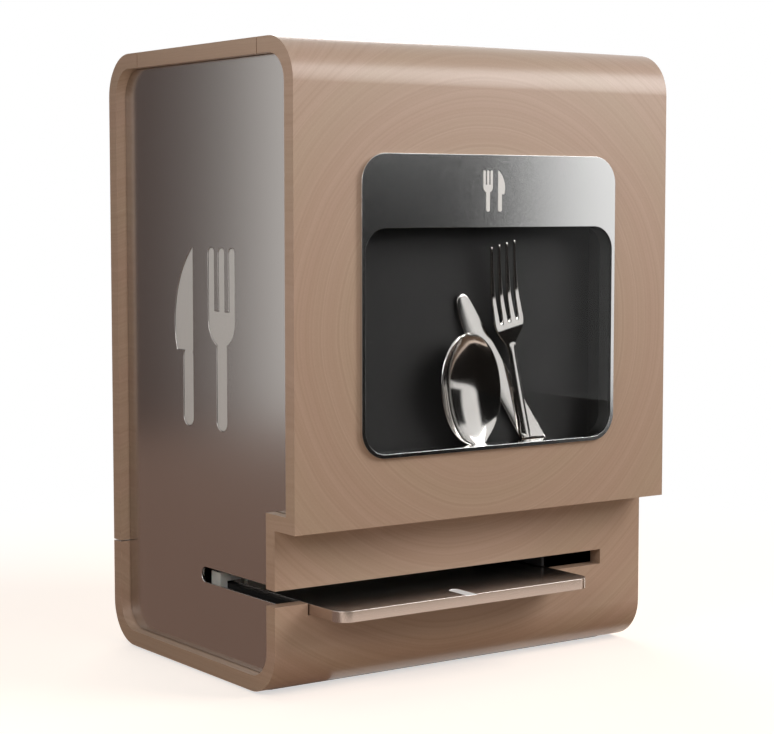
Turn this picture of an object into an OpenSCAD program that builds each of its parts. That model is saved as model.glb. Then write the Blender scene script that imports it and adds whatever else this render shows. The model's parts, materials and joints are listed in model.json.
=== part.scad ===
// Cutlery dispenser: a bent plywood cabinet with steel side panels, a display window,
// a top-filled magazine and a sprung dispensing plate. Millimetres, +Z up, +X right, front at -Y.
// The origin is on the surface that the dispenser stands on, under the middle of the cabinet.

/* [Cabinet] */
// Width across the front
body_w = 310; // [290:1:380]
// Height of the wood band
body_h = 421; // [400:1:520]
// Depth from the upper front face to the back
body_d = 246; // [236:1:300]
// Thickness of the plywood
ply_t = 10.5; // [8:0.5:12]
// Outer radius of the bent corners
corner_r = 29.5; // [22:0.5:36]
// Height of the lower front, below the step
step_z = 109; // [100:1:125]
// How far the lower front lies behind the upper front
step_d = 24; // [22:1:32]
// Distance of the lid's seams from the front and from the back
seam_in = 43; // [38:1:50]
// Height of the joint in the back board
back_joint_z = 73; // [60:1:85]
// Width of the visible seams in the wood
seam_gap = 0.8; // [0.6:0.1:1.2]
// Thickness of the grip mat underneath
mat_t = 1.5; // [1:0.5:3]
// Distance of the grip mat from the side faces
mat_in = 8; // [5:1:20]
// Radius of the grip mat's corners
mat_r = 8; // [4:1:14]
// Height of the strip that joins the back board behind its seam
splice_h = 28; // [20:1:40]
// Thickness of that strip
splice_t = 8; // [6:0.5:10]
// Distance of the strip's ends from the side faces
splice_in = 35; // [30:1:60]

/* [Side panels] */
// How far the steel panels lie inside the band
side_recess = 7.3; // [5:0.1:9]
// Thickness of the steel panels
panel_t = 2; // [1.5:0.5:3]
// Clearance between a panel and the band round it
panel_fit = 0.3; // [0.2:0.1:0.6]
// Height of the cut-out sign in the left panel
sign_h = 122; // [80:1:130]
// Height of the sign's middle above the band's bottom
sign_z = 226; // [200:1:240]
// Distance of the sign's middle from the upper front face
sign_y = 126; // [115:1:135]
// Thickness of the pale sheet behind the sign
backing_t = 1; // [1:0.5:2]
// How far the sign's raised fill rises into the cut-out
fill_rise = 1.6; // [0.5:0.1:1.8]
// Clearance between the sign's fill and the cut-out round it
fill_fit = 0.4; // [0.2:0.1:0.6]
// Section of the battens behind the panels
batten = 12; // [10:1:14]
// How far the pale sheet reaches past the sign
backing_lap = 6; // [3:1:12]

/* [Slot and plate] */
// Height of the slot's lower edge above the band's bottom
slot_z = 59.5; // [55:0.5:64]
// Height of the slot
slot_h = 10.5; // [9:0.5:13]
// Distance from the left face to the closed end of the slot
slot_end = 273; // [262:1:285]
// How far the slot runs back in the left panel, from the upper front face
side_slot = 130.5; // [110:0.5:140]
// Distance from the left face to the plate
plate_in = 25.6; // [24:0.1:30]
// Width of the plate
plate_w = 207.8; // [200:0.1:215]
// Thickness of the plate's edge
plate_t = 7.3; // [6:0.1:8.5]
// Thickness of the plate's sheet
plate_skin = 1.5; // [1:0.1:2]
// How far the plate stands out from the lower front
plate_out = 36.7; // [30:0.1:42]
// Radius of the plate's front corners
plate_r = 10.2; // [6:0.1:14]
// Length of the plate behind the magazine
plate_tail = 60; // [52:1:66]
// Travel of the plate when it is pulled out
plate_travel = 68; // [50:1:70]
// Clearance round the plate where it passes the lower front
plate_gap = 0.6; // [0.4:0.1:1]
// Running clearance of sliding faces
slide_gap = 0.3; // [0.2:0.05:0.5]
// Length of the centre groove at the plate's front
groove_l = 22; // [14:1:26]
// Width of the centre groove
groove_w = 9; // [5:0.5:12]
// Depth of the centre groove
groove_t = 0.4; // [0.2:0.1:0.8]

/* [Window] */
// Width of the window
window_w = 206; // [190:1:215]
// Height of the window
window_h = 145; // [130:1:155]
// Height of the window's lower edge above the band's bottom
window_z = 155.7; // [152:0.1:165]
// Radius of the window's corners
window_r = 16; // [10:0.5:20]
// Width of the frame's rim beside and under the window
rim = 2.7; // [2.4:0.1:6]
// Height of the metal header above the window
header_h = 47.5; // [40:0.5:55]
// Radius of the frame's outer corners
frame_r = 18.5; // [12:0.5:22]
// How far the frame stands out from the wood
frame_proud = 2.6; // [2:0.1:4]
// Wall of the frame's collar inside the wood
collar_t = 1.2; // [1:0.1:1.6]
// Thickness of the clear pane
pane_t = 2; // [1.5:0.1:2.5]
// Depth of the display box behind the upper front face
display_d = 22; // [21:0.5:23]
// Wall of the display box
box_t = 1.5; // [1:0.1:2]
// Height of the raised sign on the header
header_sign_h = 27; // [18:1:34]
// How far that sign stands out from the header
sign_relief = 0.3; // [0.2:0.1:0.6]
// Distance between the studs behind the header
stud_pitch = 56; // [44:1:60]

/* [Display cutlery] */
// Thickness of the display cutlery
cutlery_t = 1.6; // [1.4:0.1:1.8]
// Length of the knife
knife_l = 152; // [140:0.5:156]
// Length of the fork
fork_l = 170; // [155:0.5:171]
// Length of the spoon
spoon_l = 111; // [95:0.5:112]
// Lean of the knife to the left, in degrees
knife_lean = 34; // [28:1:36]
// Lean of the fork to the left, in degrees
fork_lean = 11.1; // [6:0.1:12]
// Lean of the spoon to the left, in degrees
spoon_lean = 15.2; // [6:0.1:17]

/* [Magazine] */
// Wall of the magazine
mag_t = 2; // [1.5:0.5:3]
// Depth of the magazine, front to back
mag_d = 80; // [78:1:84]
// How far the magazine's walls stand in from the plate's edges
mag_in = 4; // [3:0.5:6]
// Height of the sight opening's lower edge above the magazine's lower end
sight_low = 60; // [40:1:90]
// Distance of the sight opening's upper edge from the magazine's upper end
sight_high = 30; // [20:1:60]
// Width of the flanges that join the magazine's walls
flange = 10; // [8:1:11]
// Thickness of the pusher bar on the plate
pusher_t = 4; // [3:0.5:5]
// Thickness of the follower weight
weight_t = 12; // [8:1:20]
// Distance of the follower weight from the magazine's side walls
weight_in = 35.7; // [20:0.1:60]
// Distance of the follower weight from the magazine's front and back
weight_gap = 12; // [8:1:20]
// Radius of the follower weight's corners
weight_r = 6; // [3:1:10]
// Diameter of the follower's knob
knob_d = 28; // [24:1:34]
// Height of the follower's knob
knob_h = 28; // [22:1:34]
// Outer diameter of the rear standoffs
standoff_d = 12; // [11:1:16]
// Diameter of the return springs
spring_d = 8; // [6:0.5:10]
// Rest length of the return springs, from hook to hook
spring_l = 60; // [50:1:66]
// Thickness of the base weight
base_t = 6; // [4:1:8]
// Thickness of the runners under the plate
runner_t = 3; // [2:0.5:4]
// Sheet of the bearers and the spring anchor
bearer_t = 2; // [1.5:0.5:3]
// Width of the sight slot in the magazine's back
sight_w = 10; // [6:1:14]
// Width of the spring anchor
anchor_w = 100; // [92:1:120]
// Width of a travel stop under the plate
stop_w = 16; // [10:1:20]
// Thickness of a travel stop
stop_t = 6; // [4:0.5:8]

/* [Lid hinge] */
// Outer radius of the hinge knuckles
knuckle_r = 1.8; // [1.6:0.1:2.2]
// Radius of the hinge pin
pin_r = 0.8; // [0.6:0.1:1]
// Radial clearance between pin and knuckle
pin_fit = 0.05; // [0.03:0.01:0.08]
// Distance of the hinge's ends from the side faces
hinge_in = 15; // [12:1:25]
// Number of knuckles
knuckles = 14; // [10:2:20]
// Height of the hinge leaves
leaf_h = 8; // [6:0.5:8.5]

/* [Wall fixing] */
// Distance between the two wall-fixing holes
wall_pitch = 160; // [120:5:180]
// Height of the wall-fixing holes above the band's bottom
wall_z = 330; // [310:1:340]
// Radius of the wall-fixing holes
wall_hole_r = 3; // [2.5:0.25:3.5]

/* [Hidden] */
$fn = 64;

// Cutting shapes run this far past the faces that they cut
past = 1;

// Main planes of the cabinet
x_l = -body_w / 2;
x_r = body_w / 2;
y_f = -body_d / 2;
y_b = body_d / 2;
z_b = mat_t;
z_t = z_b + body_h;
y_low = y_f + step_d;
y_low_in = y_low + ply_t;
y_up_in = y_f + ply_t;
y_back_in = y_b - ply_t;
z_in = z_b + ply_t;
z_lid_in = z_t - ply_t;
z_step = z_b + step_z;
z_ledge = z_step + ply_t;
seam_f = y_f + seam_in;
seam_b = y_b - seam_in;
z_joint = z_b + back_joint_z;
// Inner faces of the side panels
panel_xl = x_l + side_recess + panel_t;
panel_xr = x_r - side_recess - panel_t;
// The lower batten behind each panel ends this far below the plate
batten_gap = 3;

// Slot and plate
slot_z0 = z_b + slot_z;
slot_z1 = slot_z0 + slot_h;
plate_x0 = x_l + plate_in;
plate_x1 = plate_x0 + plate_w;
plate_cx = (plate_x0 + plate_x1) / 2;
plate_z0 = slot_z0 - plate_t;
plate_y0 = y_low - plate_out;

// Magazine
lid_room = 12;
mag_lift = 0.5;
mag_x0 = plate_x0 + mag_in;
mag_x1 = plate_x1 - mag_in;
mag_y0 = y_low_in + mag_t;
mag_y1 = mag_y0 + mag_d;
mag_cx = (mag_x0 + mag_x1) / 2;
mag_cy = (mag_y0 + mag_y1) / 2;
mag_bot = slot_z1 + mag_lift;
mag_top = z_lid_in - lid_room;
plate_y1 = mag_y1 + mag_t + plate_tail;

// Screws: shank and head radii, height of the countersunk head, clearance in the wood and metal
screw_r = 2;
head_r = 4;
head_h = 2;
csk_fit = 0.05;
small_screw_r = 1.5;
slim_screw_r = 1.25;
slim_head_r = 2.4;

// Fixings of the magazine, counted from its walls and ends
fixing_in = 20;
mag_screw_l = mag_t + 7;
mag_screw_up = 12;
mag_screw_pitch = 22;
standoff_low = 112;
standoff_down = 40;
standoff_screw_l = 20;
rivet_r = 1.6;
rivet_end = 20;
rivet_z = [mag_bot + rivet_end, (mag_bot + mag_top) / 2, mag_top - rivet_end];
sight_z0 = mag_bot + sight_low;
sight_z1 = mag_top - sight_high;
// The right side wall reaches down beside the plate, almost to its top
wall_lift = 1;

// Pusher and follower
pusher_y1 = mag_y1 - slide_gap;
pusher_room = 2.5;
pusher_h = slot_h - pusher_room;
pusher_in = 3;
follower_drop = 1;
follower_z = slot_z1 - follower_drop;
follower_t = 2;
follower_in = 1;
weight_z = follower_z + follower_t;
knob_z = weight_z + weight_t;
pad = 12;
knob_hole = 10.5;
knob_round = 3;
knob_foot = 2;
follower_screw_l = follower_t + weight_t + 10;

// Bearers and runners under the plate
bearer_out = 10;
bearer_in = 12;
runner_out = 4;
runner_in = 5;
runner_y0 = y_low_in + 0.5;
bearer_x0 = plate_x0 - bearer_out;
bearer_x1 = plate_x1 + bearer_out;
base_z = z_in + base_t;
bearer_z = plate_z0 - slide_gap - runner_t;
base_gap = 4;
base_y0 = y_low + corner_r + 1;
base_y1 = y_b - corner_r - 1;
bearer_y0 = base_y0 + 2;
buffer_l = 8;
buffer_w = 8;
buffer_in = 1;
bearer_y1 = plate_y1 + buffer_l;
bridge_y = mag_y1 + mag_t + 1;
bridge_d = 12;
bridge_t = 6;
bridge_top = slot_z0 + slide_gap + bridge_t;
bridge_leg = bearer_out - runner_out - 0.5;
bridge_screw_l = bridge_top - bearer_z + bearer_t + 1;
base_screw_l = bearer_t + base_t + ply_t - 2;
base_screw_front = 16;
base_screw_back = 12;

// Springs, their pins and the anchor
spring_x = 40;
spring_y0 = mag_y1 + mag_t + 25;
spring_y1 = spring_y0 + spring_l;
spring_z = plate_z0 - spring_d / 2 - 2;
spring_wire = 1.2;
spring_plug = 1.5;
hook_pin_r = 2;
hook_fit = 0.3;
pin_below = 5;
stop_x = 1.4 * spring_x;
stop_drop = 9;
anchor_half = 6;
anchor_foot = 2;
shelf_drop = 6;
anchor_pin_l = 12;
anchor_screw_x = 20;
anchor_screw_l = bearer_t + base_t - 1;

// Window
frame_w = window_w + 2 * rim;
window_z0 = z_b + window_z;
window_z1 = window_z0 + window_h;
frame_z0 = window_z0 - rim;
frame_z1 = window_z1 + header_h;
header_z = window_z1 + header_h / 2;
collar_fit = 0.2;
pane_fit = 0.1;
stud_r = small_screw_r;
stud_fit = 0.3;
stud_root = 0.5;
stud_end = 1.5;
stud_x = [-1.5, -0.5, 0.5, 1.5] * stud_pitch;
nut_r = 2.9;
nut_t = 2.4;
nut_fit = 0.05;

// Display box behind the window
box_z0 = z_ledge + box_t + 1;
box_y1 = y_f + display_d;
box_flange = 8;
flange_up = 4;
flange_down = 2;
display_screw_l = 8;
display_screw_end = 12;
holder_x0 = -50;
holder_w = 150;
holder_h = 14;

// The three display pieces: where each foot stands and half the width of its handle's end
knife_foot = 70.3;
fork_foot = 51;
spoon_foot = 8.3;
knife_half = 10;
handle_half = 5.5;
socket_fit = 0.2;
stand_gap = 0.3;
layer_gap = 1;
knife_y = box_y1 - layer_gap - cutlery_t;
fork_y = knife_y - layer_gap - cutlery_t;
spoon_y = fork_y - layer_gap - cutlery_t;
// Knife: half width of the blade, end of the handle, length of the tapered end and its round tip
blade_half = 9;
knife_neck = 66;
blade_lap = 6;
edge_l = 26;
knife_tip_r = 6;
// Fork: height of the tines' root below the tips, radius of its shoulders and of its bend
tine_l = 57;
fork_root = fork_l - tine_l;
fork_neck_half = 3.2;
shoulder_r = 13.2;
shoulder_up = 2;
neck_lap = 8;
tine_root_w = 4.6;
tine_tip_w = 2;
tine_root_pitch = 7.2;
tine_tip_pitch = 7;
fork_bend_r = 250;
// Spoon: two circles make the bowl's oval, and a part of a ring makes its hollow
spoon_neck_half = 3.4;
oval_r = 43.8;
oval_off = 17.8;
oval_half = sqrt(oval_r * oval_r - oval_off * oval_off);
bowl_z = spoon_l - oval_half;
bowl_long_r = 100;
bowl_cross_r = 46;
// The bowl's rim lies this far behind the handle's front
rim_back = 0.5;
bowl_deep = rim_back + bowl_long_r - sqrt(bowl_long_r * bowl_long_r - oval_half * oval_half);
neck_into_bowl = 3;
spoon_tip = 6;

// Rests and magnets under the front of the lid
rest_h = 10;
rest_w = 18;
rest_front = 12;
rest_lap = 14;
rest_gap = 8;
rest_x = [[panel_xl, panel_xl + rest_w], [mag_x1 + rest_gap, panel_xr]];
magnet_r = 5;
magnet_h = 4;
magnet_x = [for (x = rest_x) (x[0] + x[1]) / 2];
magnet_y = seam_f + rest_lap / 2;
striker_t = 1.5;

// Lid hinge
hinge_x0 = x_l + hinge_in;
hinge_x1 = x_r - hinge_in;
knuckle_l = (hinge_x1 - hinge_x0) / knuckles;
knuckle_gap = 0.15;
knuckle_room = 0.25;
groove_room = 0.4;
leaf_t = 0.65;
leaf_in = 0.05;
leaf_down = 0.4;
leaf_room = 0.3;
leaf_screw_n = 5;
leaf_screw_l = 7;
leaf_screw_r = 0.9;
leaf_screw_up = 2.6;
leaf_head_r = 1.6;
leaf_head_h = 0.6;

// Places of the fixings
function display_box_screw_points() = [
    for (x = [-1, 1], z = [window_z0 - display_screw_end, (window_z0 + window_z1) / 2, window_z1 - display_screw_end])
        [x * (window_w / 2 + box_t + box_flange / 2), y_up_in + box_t, z]
];
function magazine_screw_points() = [
    for (x = [mag_x0 + fixing_in, mag_x1 - fixing_in], z = [0, mag_screw_pitch])
        [x, mag_y0, mag_bot + mag_screw_up + z]
];
function standoff_points(y) = [
    for (x = [mag_x0 + fixing_in, mag_x1 - fixing_in], z = [z_b + standoff_low, mag_top - standoff_down]) [x, y, z]
];
function rivet_points() = [
    for (x = [mag_x0 - mag_t - flange / 2, mag_x1 + mag_t + flange / 2], y = [mag_y0, mag_y1], z = rivet_z) [x, y, z]
];
function anchor_screw_points() = [
    for (x = [-anchor_screw_x, anchor_screw_x]) [plate_cx + x, spring_y1 - 1, base_z + bearer_t]
];
function bridge_screw_points() = [
    for (x = [bearer_x0 + bridge_leg / 2, bearer_x1 - bridge_leg / 2]) [x, bridge_y + bridge_d / 2, bridge_top]
];
function base_screw_points() = [
    for (x = [plate_x0, plate_x1], y = [bearer_y0 + base_screw_front, bearer_y1 - base_screw_back])
        [x, y, base_z + bearer_t]
];
// Screw places on a leaf of the hinge: side is 1 on the cabinet's leaf and -1 on the lid's leaf
function leaf_screw_points(side) = [
    for (i = [0 : leaf_screw_n - 1])
        [
            hinge_x0 + (i + 0.5) * (hinge_x1 - hinge_x0) / leaf_screw_n,
            seam_b + side * leaf_in,
            z_t - leaf_h + leaf_screw_up,
        ]
];

wood = "#b39a83";
steel = "#a9a7a4";
polished = "#c9c7c4";
dark = "#26262a";
zinc = "#8d8f92";
nylon = "#e4e1da";
pale = "#dcdad6";
iron = "#4c4e52";
rubber = "#2b2b2c";

// A box from one corner to the opposite one
module block(lo, hi) {
    translate(lo) cube(hi - lo);
}

// A flat rectangle from one corner to the opposite one
module panel_2d(lo, hi) {
    translate(lo) square(hi - lo);
}

// A flat rectangle with rounded corners
module rounded(lo, hi, r) {
    panel_2d([lo[0] + r, lo[1]], [hi[0] - r, hi[1]]);
    panel_2d([lo[0], lo[1] + r], [hi[0], hi[1] - r]);
    for (x = [lo[0] + r, hi[0] - r], y = [lo[1] + r, hi[1] - r]) {
        translate([x, y]) circle(r);
    }
}

// Runs an outline of depth and height across the cabinet
module across(x0, x1) {
    translate([x0, 0, 0]) rotate([90, 0, 90]) linear_extrude(x1 - x0) children();
}

// Runs an outline of width and height from front to back
module through(y0, y1) {
    translate([0, y1, 0]) rotate([90, 0, 0]) linear_extrude(y1 - y0) children();
}

// Runs a plan upward
module upward(z0, z1) {
    translate([0, 0, z0]) linear_extrude(z1 - z0) children();
}

// A countersunk screw: its head's face at the origin, its shank along -Z
module screw(length, r = screw_r, grow = 0, head = head_r) {
    rotate_extrude() polygon([
        [0, grow], [head + grow, grow], [head + grow, 0], [r + grow, -head_h],
        [r + grow, -length - grow], [0, -length - grow],
    ]);
}

// Places screws: each entry is a position, and all share one turn
module placed(points, turn = [0, 0, 0]) {
    for (p = points) translate(p) rotate(turn) children();
}

// Outline of the bent band, seen from the side, a given distance inside its outer face
module band_outline(inset) {
    r = corner_r - inset;
    difference() {
        rounded([y_f + inset, z_b + inset], [y_b - inset, z_t - inset], r);
        panel_2d([y_f - past, z_b - past], [y_b + past, z_step + inset]);
    }
    rounded([y_low + inset, z_b + inset], [y_b - inset, z_step + 3 * corner_r], r);
}

module band() {
    difference() {
        band_outline(0);
        band_outline(ply_t);
    }
}

// The two regions that are cut out of the band for the lid and the back board
module lid_region(gap) {
    panel_2d([seam_f - gap / 2, z_lid_in - past], [seam_b + gap / 2, z_t + past]);
}

module back_region(gap) {
    panel_2d([seam_b - gap / 2, z_joint - gap / 2], [y_b + past, z_t + past]);
}

// The slot as it runs back in the left panel
module side_slot_outline() {
    end = y_f + side_slot - slot_h / 2;
    panel_2d([y_low - past, slot_z0], [end, slot_z1]);
    translate([end, slot_z0 + slot_h / 2]) circle(slot_h / 2);
}

// The plate's plan, a given distance inside its edge
module plate_plan(inset) {
    r = plate_r - inset;
    x0 = plate_x0 + inset;
    x1 = plate_x1 - inset;
    y0 = plate_y0 + inset;
    panel_2d([x0 + r, y0], [x1 - r, y0 + 2 * r]);
    panel_2d([x0, y0 + r], [x1, plate_y1 - inset]);
    for (x = [x0 + r, x1 - r]) {
        translate([x, y0 + r]) circle(r);
    }
}

// The window's outline, grown by a given distance
module window_outline(grow) {
    half = window_w / 2 + grow;
    rounded([-half, window_z0 - grow], [half, window_z1 + grow], window_r + grow);
}

// A fork and a knife side by side, as a plain sign of the given height
module place_setting(h) {
    stem = h * 0.055;
    tine = h * 0.032;
    tine_x = h * 0.11;
    cup_z = h * 0.1;
    fork_x = -h * 0.2;
    knife_x = h * 0.17;
    translate([fork_x, 0]) {
        rounded([-stem, -h / 2], [stem, 0], stem * 0.9);
        for (x = [-tine_x, 0, tine_x]) {
            rounded([x - tine, cup_z - tine], [x + tine, h / 2], tine * 0.9);
        }
        intersection() {
            translate([0, cup_z]) circle(tine_x + tine);
            panel_2d([-h / 4, -h / 4], [h / 4, cup_z + stem]);
        }
    }
    translate([knife_x, 0]) {
        rounded([-stem, -h / 2], [stem, -h * 0.06], stem * 0.9);
        intersection() {
            panel_2d([-stem, -h * 0.08], [h * 0.16, h / 2]);
            translate([-h * 0.39, h * 0.08]) circle(h * 0.54);
        }
    }
}

// ---- Wood ----

module front_shell() {
    color(wood) difference() {
        across(x_l, x_r) difference() {
            band();
            lid_region(seam_gap);
            back_region(seam_gap);
        }
        through(y_f - past, y_up_in + past) window_outline(collar_t + collar_fit);
        block([x_l - past, y_low - past, slot_z0], [x_l + slot_end, y_low_in + past, slot_z1]);
        block([plate_x0 - plate_gap, y_low - past, plate_z0 - plate_gap],
              [plate_x1 + plate_gap, y_low_in + past, slot_z0 + past]);
        for (x = stud_x) {
            translate([x, y_f - past, header_z]) rotate([-90, 0, 0])
                cylinder(r = stud_r + stud_fit, h = ply_t + 2 * past);
        }
        placed(display_box_screw_points(), [-90, 0, 0]) screw(display_screw_l, small_screw_r, csk_fit);
        placed(magazine_screw_points(), [-90, 0, 0]) screw(mag_screw_l, screw_r, csk_fit);
        placed(base_screw_points()) screw(base_screw_l, screw_r, csk_fit);
    }
}

module back_shell() {
    color(wood) difference() {
        across(x_l, x_r) intersection() {
            band();
            back_region(-seam_gap);
        }
        hinge_groove();
        leaf_recess(seam_b - past, seam_b + leaf_in + leaf_t);
        placed(leaf_screw_points(1), [90, 0, 0]) leaf_screw(csk_fit);
        for (x = [-1, 1]) {
            translate([x * wall_pitch / 2, y_back_in - past, z_b + wall_z]) rotate([-90, 0, 0])
                cylinder(r = wall_hole_r, h = ply_t + 2 * past);
        }
        placed(standoff_points(y_b), [-90, 0, 0]) screw(standoff_screw_l, screw_r, csk_fit);
    }
}

// The groove in the top face that the knuckles lie in
module hinge_groove() {
    translate([hinge_x0 - past, seam_b, z_t]) rotate([0, 90, 0])
        cylinder(r = knuckle_r + groove_room, h = hinge_x1 - hinge_x0 + 2 * past);
}

// The recess for one leaf of the hinge in the edge of the wood
module leaf_recess(y0, y1) {
    block([hinge_x0 - past, y0, z_t - leaf_h - leaf_room], [hinge_x1 + past, y1, z_t + past]);
}

module back_splice() {
    color(wood) block([x_l + splice_in, y_back_in - splice_t, z_joint - splice_h / 2],
                      [x_r - splice_in, y_back_in, z_joint + splice_h / 2]);
}

// Three upright battens behind one side panel, from x0 to x1
module battens(x0, x1) {
    upper_z1 = z_t - corner_r;
    lower_z0 = z_b + corner_r;
    color(wood) {
        block([x0, y_up_in, z_ledge], [x1, y_up_in + batten, upper_z1]);
        block([x0, y_back_in - batten, lower_z0], [x1, y_back_in, upper_z1]);
        block([x0, y_low_in, lower_z0], [x1, y_low_in + batten, plate_z0 - batten_gap]);
    }
}

module left_battens() {
    battens(panel_xl, panel_xl + batten);
}

module right_battens() {
    battens(panel_xr - batten, panel_xr);
}

// Two blocks under the top's fixed front part, which the lid's front edge rests on
module lid_rest_blocks() {
    color(wood) difference() {
        for (x = rest_x) {
            block([x[0], seam_f - rest_front, z_lid_in - rest_h], [x[1], seam_f + rest_lap, z_lid_in]);
        }
        for (x = magnet_x) {
            translate([x, magnet_y, z_lid_in - magnet_h]) cylinder(r = magnet_r, h = magnet_h + past);
        }
    }
}

module lid_magnets() {
    color(zinc) for (x = magnet_x) {
        translate([x, magnet_y, z_lid_in - magnet_h]) cylinder(r = magnet_r, h = magnet_h);
    }
}

// ---- Steel side panels ----

// A side panel's sheet, with its outer face at x0
module side_sheet(x0) {
    across(x0, x0 + panel_t) band_outline(ply_t + panel_fit);
}

module left_side_panel() {
    color(steel) difference() {
        side_sheet(x_l + side_recess);
        across(x_l, panel_xl + past) side_slot_outline();
        across(x_l, panel_xl + past) translate([y_f + sign_y, z_b + sign_z]) place_setting(sign_h);
    }
}

module right_side_panel() {
    color(steel) side_sheet(panel_xr);
}

module side_sign_backing() {
    half_h = sign_h / 2 + backing_lap;
    half_w = sign_h * 0.36 + backing_lap;
    color(pale) {
        across(panel_xl, panel_xl + backing_t) translate([y_f + sign_y, z_b + sign_z])
            rounded([-half_w, -half_h], [half_w, half_h], backing_lap);
        across(panel_xl - fill_rise, panel_xl + backing_t) translate([y_f + sign_y, z_b + sign_z])
            offset(delta = -fill_fit) place_setting(sign_h);
    }
}

// ---- Window and display ----

module window_frame() {
    color(steel) {
        difference() {
            union() {
                through(y_f - frame_proud, y_f)
                    rounded([-frame_w / 2, frame_z0], [frame_w / 2, frame_z1], frame_r);
                through(y_f - frame_proud / 2, y_up_in) window_outline(collar_t);
            }
            through(y_f - frame_proud - past, y_up_in + past) window_outline(0);
        }
        for (x = stud_x) {
            translate([x, y_f - stud_root, header_z]) rotate([-90, 0, 0])
                cylinder(r = stud_r, h = ply_t + nut_t + stud_end);
        }
    }
}

module frame_nuts() {
    color(zinc) for (x = stud_x) {
        translate([x, y_up_in, header_z]) rotate([-90, 0, 0]) difference() {
            cylinder(r = nut_r, h = nut_t, $fn = 6);
            translate([0, 0, -past]) cylinder(r = stud_r + nut_fit, h = nut_t + 2 * past);
        }
    }
}

module header_sign() {
    color(pale) through(y_f - frame_proud - sign_relief, y_f - frame_proud) translate([0, header_z])
        place_setting(header_sign_h);
}

module window_pane() {
    color("#a8b4bc", 0.35) through(y_f - frame_proud, y_f - frame_proud + pane_t) window_outline(-pane_fit);
}

module display_box() {
    hw = window_w / 2;
    color(dark) difference() {
        union() {
            block([-hw - box_t, y_up_in, box_z0 - box_t], [hw + box_t, box_y1 + box_t, window_z1 + box_t]);
            block([-hw - box_t - box_flange, y_up_in, box_z0 + flange_up],
                  [hw + box_t + box_flange, y_up_in + box_t, window_z1 - flange_down]);
        }
        block([-hw, y_up_in - past, box_z0], [hw, box_y1, window_z1]);
        placed(display_box_screw_points(), [-90, 0, 0]) screw(display_screw_l, small_screw_r, csk_fit);
    }
}

module display_box_screws() {
    color(zinc) placed(display_box_screw_points(), [-90, 0, 0]) screw(display_screw_l, small_screw_r);
}

// Stands a display piece on the box's floor: it leans to the left, and its top may tip forward
module posed(foot, lean, half, y, tip = 0) {
    lift = half * sin(lean) + cutlery_t * sin(tip) + stand_gap;
    translate([foot, y, box_z0 + lift]) rotate([tip, 0, 0]) rotate([0, -lean, 0]) children();
}

// A handle that narrows from its end to the neck
module handle_outline(end_half, neck_half, neck) {
    polygon([[-end_half, 0], [end_half, 0], [neck_half, neck], [-neck_half, neck]]);
}

module knife_outline() {
    edge_z = knife_l - edge_l;
    handle_outline(knife_half, blade_half, knife_neck);
    panel_2d([-blade_half, knife_neck - blade_lap], [blade_half, edge_z]);
    hull() {
        panel_2d([-blade_half, edge_z - past], [blade_half, edge_z]);
        translate([blade_half - knife_tip_r, knife_l - knife_tip_r]) circle(knife_tip_r);
    }
}

// A tine that narrows from its root to its round tip
module tine(i) {
    root_x = i * tine_root_pitch;
    tip_x = i * tine_tip_pitch;
    tip_r = tine_tip_w / 2;
    tip_z = fork_l - tip_r;
    polygon([
        [root_x - tine_root_w / 2, fork_root], [root_x + tine_root_w / 2, fork_root],
        [tip_x + tip_r, tip_z], [tip_x - tip_r, tip_z],
    ]);
    translate([tip_x, tip_z]) circle(tip_r);
}

module fork_outline() {
    handle_outline(handle_half, fork_neck_half, fork_root - neck_lap);
    intersection() {
        translate([0, fork_root - shoulder_up]) circle(shoulder_r);
        panel_2d([-shoulder_r, fork_root - 2 * shoulder_r], [shoulder_r, fork_root + shoulder_up]);
    }
    for (i = [-1.5 : 1.5]) tine(i);
}

// The fork seen from its side: a straight handle, and tines that bend forward from their root
module fork_side() {
    panel_2d([0, 0], [cutlery_t, fork_root]);
    intersection() {
        difference() {
            translate([-fork_bend_r, fork_root]) circle(fork_bend_r + cutlery_t, $fn = 360);
            translate([-fork_bend_r, fork_root]) circle(fork_bend_r, $fn = 360);
        }
        panel_2d([-tine_l, fork_root], [2 * cutlery_t, fork_l + past]);
    }
}

// The oval of the spoon's bowl
module bowl_outline() {
    intersection() {
        translate([-oval_off, bowl_z]) circle(oval_r);
        translate([oval_off, bowl_z]) circle(oval_r);
    }
}

// Part of a ring whose wall is the spoon's hollow: it bends one way along the bowl and another across it
module bowl_ring() {
    translate([0, bowl_deep - bowl_long_r, bowl_z]) rotate([0, 90, 0]) rotate_extrude() intersection() {
        difference() {
            translate([bowl_long_r - bowl_cross_r, 0]) rotate(180) circle(bowl_cross_r + cutlery_t);
            translate([bowl_long_r - bowl_cross_r, 0]) rotate(180) circle(bowl_cross_r);
        }
        panel_2d([bowl_long_r / 2, -oval_r], [bowl_long_r + 2 * cutlery_t, oval_r]);
    }
}

module display_knife() {
    color(polished) posed(knife_foot, knife_lean, knife_half, knife_y) through(0, cutlery_t) knife_outline();
}

module display_fork() {
    color(polished) posed(fork_foot, fork_lean, handle_half, fork_y) intersection() {
        through(-tine_l, 2 * cutlery_t) fork_outline();
        across(-shoulder_r - past, shoulder_r + past) fork_side();
    }
}

module display_spoon() {
    neck = bowl_z - oval_half + neck_into_bowl;
    color(polished) posed(spoon_foot, spoon_lean, handle_half, spoon_y, spoon_tip) {
        through(0, cutlery_t) handle_outline(handle_half, spoon_neck_half, neck);
        intersection() {
            through(-past, bowl_deep + 2 * cutlery_t) bowl_outline();
            bowl_ring();
        }
    }
}

// The socket for one handle in the block, a little larger than the handle all round
module handle_socket(foot, lean, half, y, tip = 0) {
    wide = half + socket_fit;
    posed(foot, lean, half, y, tip) through(-socket_fit, cutlery_t + socket_fit)
        panel_2d([-wide, -socket_fit], [wide, 3 * holder_h]);
}

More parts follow.
